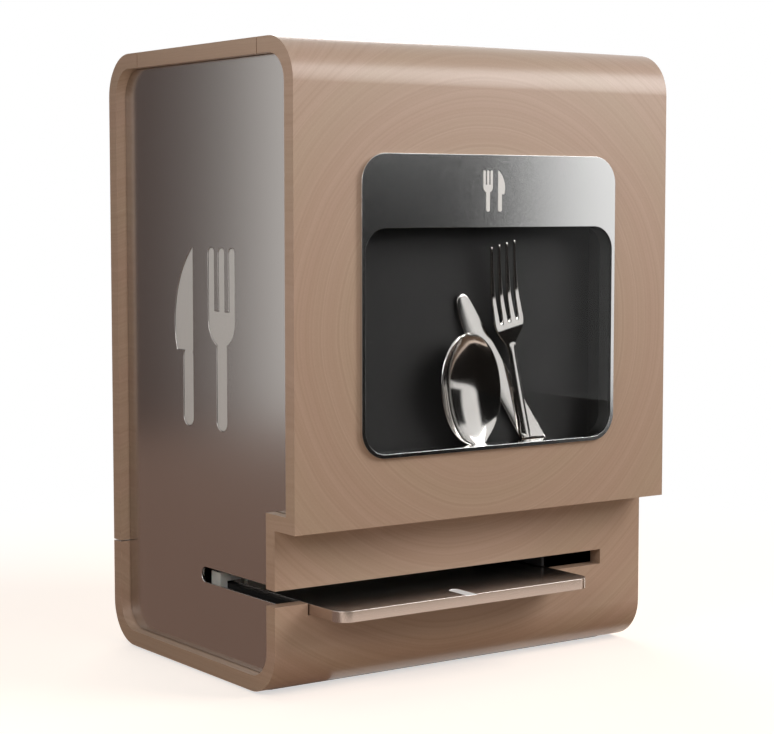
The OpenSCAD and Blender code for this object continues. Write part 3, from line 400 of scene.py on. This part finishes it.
def node_group(name, **inputs):
    """An empty geometry group with named inputs, and its first and last node."""
    group = bpy.data.node_groups.new(name, "GeometryNodeTree")
    group.interface.new_socket("Geometry", in_out="INPUT", socket_type="NodeSocketGeometry")
    for label, kind in inputs.items():
        group.interface.new_socket(label, in_out="INPUT", socket_type=kind)
    group.interface.new_socket("Geometry", in_out="OUTPUT", socket_type="NodeSocketGeometry")
    return group, add(group, "NodeGroupInput").outputs, add(group, "NodeGroupOutput")


def finished(group, geometry, material, last):
    """Ends a group: real meshes, with their material."""
    real = add(group, "GeometryNodeRealizeInstances", {"Geometry": geometry}).outputs[0]
    dressed = add(group, "GeometryNodeSetMaterial", {"Geometry": real, "Material": material}).outputs[0]
    group.links.new(dressed, last.inputs["Geometry"])
    return group


def coil_group():
    """Extension springs: a close coil along Y and a ring at each end, at every point that comes in."""
    labels = "Coil_Radius", "Coil_Length", "Ring_Radius", "Wire_Radius", "Turns"
    sizes = dict.fromkeys(labels, "NodeSocketFloat")
    group, given, last = node_group("extension_springs", **sizes, Material="NodeSocketMaterial")
    wire = add(group, "GeometryNodeCurvePrimitiveCircle",
               {"Resolution": 8, "Radius": given["Wire_Radius"]}).outputs[0]
    helix = add(group, "GeometryNodeCurveSpiral", {
        "Resolution": 20, "Rotations": given["Turns"], "Start Radius": given["Coil_Radius"],
        "End Radius": given["Coil_Radius"], "Height": given["Coil_Length"]}).outputs[0]
    lying = add(group, "GeometryNodeTransform",
                {"Geometry": helix, "Rotation": (-math.pi / 2, 0, 0)}).outputs[0]
    ring = add(group, "GeometryNodeCurvePrimitiveCircle",
               {"Resolution": 28, "Radius": given["Ring_Radius"]}).outputs[0]
    reach = math_of(group, "ADD", given["Ring_Radius"], RING_OFF * MM)
    near = math_of(group, "MULTIPLY", reach, -1)
    far = math_of(group, "ADD", reach, given["Coil_Length"])
    parts = add(group, "GeometryNodeJoinGeometry")
    group.links.new(lying, parts.inputs[0])
    for shift in (near, far):
        place = add(group, "ShaderNodeCombineXYZ", {"Y": shift}).outputs[0]
        moved = add(group, "GeometryNodeTransform", {"Geometry": ring, "Translation": place}).outputs[0]
        group.links.new(moved, parts.inputs[0])
    drawn = add(group, "GeometryNodeCurveToMesh",
                {"Curve": parts.outputs[0], "Profile Curve": wire}).outputs[0]
    spread = add(group, "GeometryNodeInstanceOnPoints",
                 {"Points": given["Geometry"], "Instance": drawn}).outputs[0]
    return finished(group, spread, given["Material"], last)


def screw_group():
    """One screw at every point, turned to its side, its cross left at an uneven angle as a hand leaves it."""
    group, given, last = node_group(
        "driven_screws", Screw="NodeSocketObject", Seed="NodeSocketInt", Material="NodeSocketMaterial")
    shape = add(group, "GeometryNodeObjectInfo", {"Object": given["Screw"]}).outputs["Geometry"]
    side = add(group, "GeometryNodeInputNamedAttribute", {"Name": "turn"},
               data_type="FLOAT_VECTOR").outputs[0]
    spread = add(group, "GeometryNodeInstanceOnPoints",
                 {"Points": given["Geometry"], "Instance": shape, "Rotation": side}).outputs[0]
    angle = add(group, "FunctionNodeRandomValue", {2: 0.0, 3: math.pi / 2, "Seed": given["Seed"]},
                data_type="FLOAT").outputs[1]
    about = add(group, "ShaderNodeCombineXYZ", {"Z": angle}).outputs[0]
    turned = add(group, "GeometryNodeRotateInstances",
                 {"Instances": spread, "Rotation": about, "Local Space": True}).outputs[0]
    return finished(group, turned, given["Material"], last)


def grown(name, group, points, turns=(), **values):
    """Runs a group over some points, each with its own turn if it has one, and gives back one plain mesh."""
    mesh = bpy.data.meshes.new(name + "_points")
    mesh.from_pydata(points, [], [])
    attribute = mesh.attributes.new("turn", "FLOAT_VECTOR", "POINT")
    for entry, turn in zip(attribute.data, turns):
        entry.vector = turn
    carrier = placed(name + "_carrier", mesh)
    modifier = carrier.modifiers.new("grown", "NODES")
    modifier.node_group = group
    for item in group.interface.items_tree:
        if item.in_out == "INPUT" and item.name in values:
            modifier[item.identifier] = values[item.name]
    bpy.context.view_layer.update()
    made = bpy.data.meshes.new_from_object(carrier.evaluated_get(bpy.context.evaluated_depsgraph_get()))
    bpy.data.objects.remove(carrier)
    made.name = name
    return made


def screw_shape(length, head, shank, deep):
    """A countersunk screw along -Z with its top at 0, and a cross recess in its head."""
    shape = bmesh.new()

    def ring(radius, z):
        """A circle of points at one height."""
        turns = [2 * math.pi * i / SCREW_SIDES for i in range(SCREW_SIDES)]
        return [shape.verts.new((radius * math.cos(turn), radius * math.sin(turn), z)) for turn in turns]

    def closed(loop):
        """The edges of a closed loop of points."""
        return [shape.edges.get(pair) or shape.edges.new(pair) for pair in zip(loop, loop[1:] + loop[:1])]

    def skin(upper, lower):
        """Faces from one loop of points to the next."""
        for i in range(len(upper)):
            j = (i + 1) % len(upper)
            shape.faces.new((upper[i], lower[i], lower[j], upper[j]))

    # The head's thin rim and its cone, the shank, and the point
    rings = [ring(radius, z) for radius, z in (
        (head, 0), (head, -0.1 * deep), (shank, -deep), (shank, -0.85 * length), (0.35 * shank, -length))]
    for upper, lower in zip(rings, rings[1:]):
        skin(upper, lower)
    shape.faces.new(rings[-1][::-1])
    arm, slot = 0.55 * head, 0.13 * head
    cross = [(slot, -arm), (slot, -slot), (arm, -slot), (arm, slot), (slot, slot), (slot, arm),
             (-slot, arm), (-slot, slot), (-arm, slot), (-arm, -slot), (-slot, -slot), (-slot, -arm)]
    brim = [shape.verts.new((x, y, 0)) for x, y in cross]
    floor = [shape.verts.new((0.7 * x, 0.7 * y, -0.6 * deep)) for x, y in cross]
    skin(floor, brim)
    shape.faces.new(floor)
    bmesh.ops.triangle_fill(shape, use_beauty=True, edges=closed(rings[0]) + closed(brim))
    bmesh.ops.recalc_face_normals(shape, faces=shape.faces)
    mesh = bpy.data.meshes.new("screw")
    shape.to_mesh(mesh)
    shape.free()
    return mesh


def islands(shape):
    """The separate bodies of a shape, each as its points. A dict keeps them in the same order on each run."""
    left = dict.fromkeys(shape.verts)
    while left:
        island, edge = set(), [left.popitem()[0]]
        while edge:
            vert = edge.pop()
            island.add(vert)
            for link in vert.link_edges:
                other = link.other_vert(vert)
                if other in left:
                    del left[other]
                    edge.append(other)
        yield island


def driven(node, seed):
    """Puts screws with a cross recess in the place of a node's plain ones, found one by one in its mesh."""
    shape = merged(nodes[node].data)
    tops, turns = [], []
    for island in islands(shape):
        low = [min(v.co[i] for v in island) for i in range(3)]
        high = [max(v.co[i] for v in island) for i in range(3)]
        size = [b - a for a, b in zip(low, high)]
        # A screw lies along the axis across which it is round
        axis = min(range(3), key=lambda i: abs(size[i - 1] - size[i - 2]))
        middle = Vector([(a + b) / 2 for a, b in zip(low, high)])

        def reach(end):
            """The radius at one end."""
            flat = [(v.co - middle) for v in island if abs(v.co[axis] - end) < 10 * SAME_PLACE]
            return max(math.sqrt(p.length_squared - p[axis] ** 2) for p in flat)

        end = high[axis] if reach(high[axis]) > reach(low[axis]) else low[axis]
        out = Vector([0, 0, 0])
        out[axis] = 1 if end == high[axis] else -1
        top = middle.copy()
        top[axis] = end
        tops.append(top)
        turns.append(out.to_track_quat("Z", "Y").to_euler())
        length = size[axis]
        head, shank = reach(end), reach(low[axis] + high[axis] - end)
    shape.free()
    screw = placed("screw", screw_shape(length, head, shank, SCREW_HEAD_DEEP * MM))
    mesh = grown(node + "_driven", driven_screws, tops, turns, Screw=screw, Seed=seed, Material=zinc)
    bpy.data.objects.remove(screw)
    new_piece(node + "_driven", mesh, zinc, node)


def springs():
    """The return springs, wound between the plate's pins and the anchor's. They are made where they stand and do
    not follow the plate.
    """
    # In millimetres: the radii, the places of the two springs, and the pins in front and behind
    coil, ring, wire = 3.4, 2.9, 0.6
    places, height, start, end = (-65.5, 14.5), 47.7, 20.5, 80.5
    coil_end = ring + RING_OFF
    mesh = grown("return_springs_wound", extension_springs,
                 [(x * MM, (start + coil_end) * MM, height * MM) for x in places],
                 Coil_Radius=coil * MM, Coil_Length=(end - start - 2 * coil_end) * MM, Ring_Radius=ring * MM,
                 Wire_Radius=wire * MM, Turns=38.0, Material=zinc)
    mesh.shade_smooth()
    piece = placed("return_springs_wound", mesh)
    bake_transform(piece)
    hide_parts("return_springs")


# ---- Display cutlery ----

# All in millimetres
CUTLERY_T = 1.6      # what a piece's thickness lifts it by, where it tips forward
BOX_FLOOR = 123.5    # the height that the pieces stand on
STAND_GAP = 0.3
SHEET_T = 1.7        # spoon and fork
BLADE_T = 1.5


def posed(foot, lean, half, y, tip=0, twist=0):
    """Where a display piece stands, by its foot and half its foot's width.

    It leans to the left, its top may tip forward, and its face may turn.
    """
    lean, tip, twist = math.radians(lean), math.radians(tip), math.radians(twist)
    lift = half * math.sin(lean) + CUTLERY_T * math.sin(tip) + STAND_GAP
    return (Matrix.Scale(MM, 4) @ Matrix.Translation((foot, y, BOX_FLOOR + lift))
            @ Matrix.Rotation(tip, 4, "X") @ Matrix.Rotation(-lean, 4, "Y") @ Matrix.Rotation(twist, 4, "Z"))


def pressed(node, rows, place, thickness, slots=()):
    """Cutlery pressed from sheet: rows of points across it, given thickness and then smoothed.

    Slots are the gaps between points, by row and column, that stay open.
    """
    wide = len(rows[0])
    faces = [(r * wide + c, r * wide + c + 1, (r + 1) * wide + c + 1, (r + 1) * wide + c)
             for r in range(len(rows) - 1) for c in range(wide - 1) if (r, c) not in slots]
    mesh = bpy.data.meshes.new(node + "_pressed")
    mesh.from_pydata([place @ Vector(point) for row in rows for point in row], [], faces)
    mesh.shade_smooth()
    piece = new_piece(node + "_pressed", mesh, polished, node)
    sheet = piece.modifiers.new("sheet_thickness", "SOLIDIFY")
    sheet.thickness = thickness * MM
    sheet.offset = -1
    smooth = piece.modifiers.new("pressed_smooth", "SUBSURF")
    smooth.levels = smooth.render_levels = 3


def spoon():
    """The bowl has a nearly flat bottom and steep sides, hollow towards the viewer."""
    # Half the width at each length from the foot
    outline = ((0, 5.5), (14, 4.9), (26, 3.8), (30, 3.7), (33, 5.8), (36, 10.5), (40, 16.2), (46, 21.4),
               (54, 25.2), (63, 27.4), (73, 28), (82, 27.2), (91, 24.4), (97.5, 20.6), (102.8, 15.8),
               (106.6, 10), (108.7, 3.4))
    across = (-1, -0.94, -0.78, -0.5, -0.18, 0.18, 0.5, 0.78, 0.94, 1)
    deepest, to_neck, to_tip, depth = 76, 46, 35, 8
    handle_ridge, handle = 0.7, 34
    rows = []
    for along, half in outline:
        run = (along - deepest) / (to_neck if along < deepest else to_tip)
        hollow = depth * max(0, 1 - run ** 2) - handle_ridge * max(0, 1 - along / handle)
        rows.append([(half * u, hollow * (1 - abs(u) ** 3), along) for u in across])
    pressed("display_spoon", rows, posed(8.3, 13.9, 5.5, -108.8, tip=4.2, twist=10), SHEET_T)


def fork():
    """The neck comes forward to a flat head, and the ends of the four tines bend forward."""
    root, tip, tines = 117, 170, (-1.5, -0.5, 0.5, 1.5)

    def across(pitch, half):
        """Four points over each tine, with a narrow edge at each side."""
        return [i * pitch + side * half for i in tines for side in (-1, -0.7, 0.7, 1)]

    at_root, at_tip = across(7.2, 2.45), across(7, 0.4)
    head = at_root[-1]
    rows = []
    # Handle, neck and head: length from the foot, half width, bend forward, and ridge along the middle
    for along, half, forward, ridge in (
            (0, 5.5, 0, 0.5), (30, 4.4, 0, 0.5), (60, 3.6, 0, 0.5), (86, 3.2, 0, 0.5), (95, 3.2, 0, 0.5),
            (98.5, 3.8, 0.1, 0.4), (101, 5.0, 0.3, 0.2), (103.5, 7.0, 0.8, 0), (106, 9.1, 1.4, 0),
            (109, 11.2, 2.1, 0), (112, 12.6, 2.4, 0), (root, 13.6, 2.4, 0)):
        rows.append([(x * half / head, -forward - ridge * (1 - (x / head) ** 2), along) for x in at_root])
    solid = len(rows) - 1
    # Tines: length from the foot, and bend forward
    for along, forward in (
            (root + 1.6, 2.4), (root + 5, 2.4), (root + 10, 2.4), (root + 15, 2.5), (root + 21, 3.0),
            (root + 30, 4.4), (root + 40, 6.6), (tip - 4, 8.6), (tip, 9.4)):
        part = (along - root) / (tip - root)
        rows.append([(a + (b - a) * part, -forward, along) for a, b in zip(at_root, at_tip)])
    slots = {(r, c) for r in range(solid, len(rows) - 1) for c in (3, 7, 11)}
    pressed("display_fork", rows, posed(51, 12.3, 5.5, -106.2, twist=4), SHEET_T, slots)


def knife():
    """The blade has a straight back and a round end."""
    rows = []
    # Length from the foot, and the left and right edge there
    for along, left, right in (
            (0, -10, 10), (30, -9.9, 9.9), (60, -9.2, 9.2), (66, -9, 9), (90, -9, 9), (112, -9, 9),
            (124, -8.9, 9), (133, -7.4, 9), (141, -5.2, 9), (146, -3.4, 8.8), (149.4, -1.6, 7.4),
            (151.6, 1.2, 4.8)):
        middle, half = (left + right) / 2, (right - left) / 2
        rows.append([(middle + half * u, 0.35 * u * u, along) for u in (-1, -0.9, -0.45, 0, 0.45, 0.9, 1)])
    pressed("display_knife", rows, posed(70.3, 34, 10, -103.9, twist=4), BLADE_T)


# ---- Stage: floor, backdrop, lamps and camera ----

CAMERA_PLACE = Vector((-808.1, -1157.9, 317.3)) * MM
CAMERA_TURN = math.radians(34.97)    # to the right of straight ahead
CAMERA_DIP = math.radians(4.706)     # below the horizon
FOCAL_PX = 1977.1                    # of a picture 775 pixels wide
PICTURE_W = 775
SENSOR = 36                          # millimetres, as the lens
WORLD_FILL = 0.17                    # how strongly the backdrop lights the object
FLOOR_GLOW = 0.6                     # what brings the floor near white where it is seen
FLOOR_HALF = 6.0
FADE_FROM, FADE_TO = 0.3, 0.75       # metres from the object over which the floor runs into the backdrop


def rectangle(name, width, height):
    """A flat mesh of one face, round its middle."""
    w, h = width / 2, height / 2
    mesh = bpy.data.meshes.new(name)
    mesh.from_pydata([(-w, -h, 0), (w, -h, 0), (w, h, 0), (-w, h, 0)], [], [(0, 1, 2, 3)])
    return mesh


def empty_tree(owner):
    """The node tree of a new material or world, with nothing in it."""
    owner.use_nodes = True
    owner.node_tree.nodes.clear()
    return owner.node_tree


def seen_rays(tree):
    """1 for what the camera, reflections and glass see, and 0 for what lights the object."""
    path = add(tree, "ShaderNodeLightPath").outputs
    glossy = math_of(tree, "MAXIMUM", path["Is Camera Ray"], path["Is Glossy Ray"])
    return math_of(tree, "MAXIMUM", glossy, path["Is Transmission Ray"])


def make_camera():
    """A camera at the photograph's place and angle."""
    data = bpy.data.cameras.new("camera")
    data.sensor_width = SENSOR
    data.lens = FOCAL_PX / PICTURE_W * SENSOR
    data.clip_start = 0.05
    data.clip_end = 50
    camera = placed("camera", data)
    ahead = Vector((math.sin(CAMERA_TURN) * math.cos(CAMERA_DIP),
                    math.cos(CAMERA_TURN) * math.cos(CAMERA_DIP),
                    -math.sin(CAMERA_DIP)))
    camera.location = CAMERA_PLACE
    camera.rotation_euler = ahead.to_track_quat("-Z", "Y").to_euler()
    bpy.context.scene.camera = camera


def make_world():
    """White for the camera and in reflections, and a plain soft light for everything else."""
    world = bpy.data.worlds.new("studio")
    tree = empty_tree(world)
    strength = ranged(tree, seen_rays(tree), WORLD_FILL, 1.0)
    light = add(tree, "ShaderNodeBackground", {"Color": WHITE, "Strength": strength})
    output = add(tree, "ShaderNodeOutputWorld")
    tree.links.new(light.outputs[0], output.inputs[0])
    bpy.context.scene.world = world


def soft_lamp(name, place, target, width, height, power):
    """A rectangular lamp that faces its target."""
    data = bpy.data.lights.new(name, "AREA")
    data.shape = "RECTANGLE"
    data.size = width
    data.size_y = height
    data.energy = power
    lamp = placed(name, data)
    lamp.location = place
    lamp.rotation_euler = (Vector(target) - Vector(place)).to_track_quat("-Z", "Y").to_euler()
    lamp.visible_camera = False


def make_floor():
    """A plain pale floor. The camera and reflections see it near white, with the object's shadow."""
    mesh = rectangle("floor", 2 * FLOOR_HALF, 2 * FLOOR_HALF)
    floor = placed("floor", mesh)
    made = bpy.data.materials.new("pale_floor")
    tree = empty_tree(made)
    matt = add(tree, "ShaderNodeBsdfDiffuse", {"Color": linear("#D6C3B0")})
    glow = add(tree, "ShaderNodeEmission", {"Color": WHITE, "Strength": FLOOR_GLOW})
    shown = add(tree, "ShaderNodeAddShader", {0: matt.outputs[0], 1: glow.outputs[0]})
    # Away from the object the floor runs into the white backdrop
    away = add(tree, "ShaderNodeVectorMath", {0: add(tree, "ShaderNodeTexCoord").outputs["Object"]},
               operation="LENGTH").outputs["Value"]
    fading = add(tree, "ShaderNodeMapRange", {0: away, 1: FADE_FROM, 2: FADE_TO},
                 interpolation_type="SMOOTHSTEP").outputs[0]
    white = add(tree, "ShaderNodeEmission", {"Color": WHITE, "Strength": 1.0})
    faded = add(tree, "ShaderNodeMixShader", {0: fading, 1: shown.outputs[0], 2: white.outputs[0]})
    both = add(tree, "ShaderNodeMixShader", {0: seen_rays(tree), 1: matt.outputs[0], 2: faded.outputs[0]})
    output = add(tree, "ShaderNodeOutputMaterial")
    tree.links.new(both.outputs[0], output.inputs[0])
    mesh.materials.append(made)


def dark_card(name, place, facing, width, height, shade, soft_right=0.0, soft_top=0.0, soft_left=0.0):
    """A card that only reflections see. It faces a direction, or lies flat where that is None.

    Its right, upper and left sides fade out over that many metres. Its right side is the one on the right of
    someone who stands behind it and looks at the object, or the one towards +X on a card that lies flat.
    """
    mesh = rectangle(name, width, height)
    card = placed(name, mesh)
    card.location = place
    if facing:
        card.rotation_euler = (-Vector(facing)).to_track_quat("Z", "Y").to_euler()
    card.visible_camera = False
    card.visible_diffuse = False
    card.visible_shadow = False
    made = bpy.data.materials.new(name)
    tree = empty_tree(made)
    where = add(tree, "ShaderNodeSeparateXYZ", {0: add(tree, "ShaderNodeTexCoord").outputs["Object"]}).outputs
    cover = 1.0
    for soft, value, end, inward in (
            (soft_right, where[0], width / 2, -1), (soft_top, where[1], height / 2, -1),
            (soft_left, where[0], -width / 2, 1)):
        if soft:
            edge = add(tree, "ShaderNodeMapRange", {0: value, 1: end, 2: end + inward * soft},
                       interpolation_type="SMOOTHSTEP").outputs[0]
            cover = math_of(tree, "MULTIPLY", cover, edge)
    dark = add(tree, "ShaderNodeEmission", {"Color": linear(shade), "Strength": 1.0})
    clear = add(tree, "ShaderNodeBsdfTransparent")
    both = add(tree, "ShaderNodeMixShader", {0: cover, 1: clear.outputs[0], 2: dark.outputs[0]})
    output = add(tree, "ShaderNodeOutputMaterial")
    tree.links.new(both.outputs[0], output.inputs[0])
    mesh.materials.append(made)


make_camera()
make_world()
make_floor()
# Place, target, width and height in metres, and power in watts
soft_lamp("lamp_key", (0.95, -1.04, 0.95), (0.0, -0.1, 0.25), 0.9, 0.9, 17.5)
soft_lamp("lamp_overhead", (-0.1, 0.3, 1.9), (0.0, 0.0, 0.3), 1.4, 1.0, 4)
soft_lamp("lamp_front_left", (-0.75, -0.45, 0.5), (-0.15, -0.12, 0.25), 0.4, 0.4, 2.6)
soft_lamp("lamp_back", (0.6, 1.5, 1.0), (0.0, 0.1, 0.25), 1.0, 1.0, 12)

# Black and brown cards, as a photographer sets them beside bright metal, give it its dark reflections
dark_card("card_front", (-0.10, -1.63, 0.27), (0, 1, 0), 3.09, 0.58, "#0B0B0B",
          soft_right=0.31, soft_top=0.04)
dark_card("card_right", (2.1, -0.75, 0.25), (-1, 0.3, 0), 1.3, 0.50, "#181818", soft_top=0.05, soft_left=0.2)
dark_card("card_back", (-0.4, 1.25, 0.45), (0, -1, 0), 1.2, 0.9, "#43302A", soft_right=0.085)
# A low pale one stands before the object's foot
dark_card("card_low", (0.1, -0.25, 0.017), (0, 1, 0), 1.6, 0.034, "#FFEBDC")
# Four lie on the floor, before the object and at its left
dark_card("card_floor_near", (0.0, -0.17, 0.001), None, 2.6, 0.16, "#7A6453")
dark_card("card_floor_far", (0.0, -1.005, 0.001), None, 2.6, 1.51, "#14110F")
dark_card("card_floor_left", (-0.575, 0.475, 0.001), None, 0.95, 1.55, "#846C61")
dark_card("card_floor_far_left", (-1.475, 0.475, 0.001), None, 0.85, 1.55, "#846C61", soft_top=0.6)
bpy.context.scene.view_settings.view_transform = "Standard"

# ---- Pieces ----

# The nodes whose edges are eased, with the round's width in millimetres
for name, edge in (
        ("front_shell", 0.5), ("top_lid", 0.5), ("back_shell", 0.5), ("window_frame", 0.45),
        ("left_side_panel", 0.3), ("right_side_panel", 0.3), ("dispensing_plate", 0.5)):
    eased(name, edge)

knife()
fork()
spoon()
extension_springs = coil_group()
driven_screws = screw_group()
springs()
for seed, name in enumerate(name for name in nodes if name.endswith("_screws")):
    driven(name, seed)

# The clear pane throws no shadow into the recess
nodes["window_pane"].visible_shadow = False
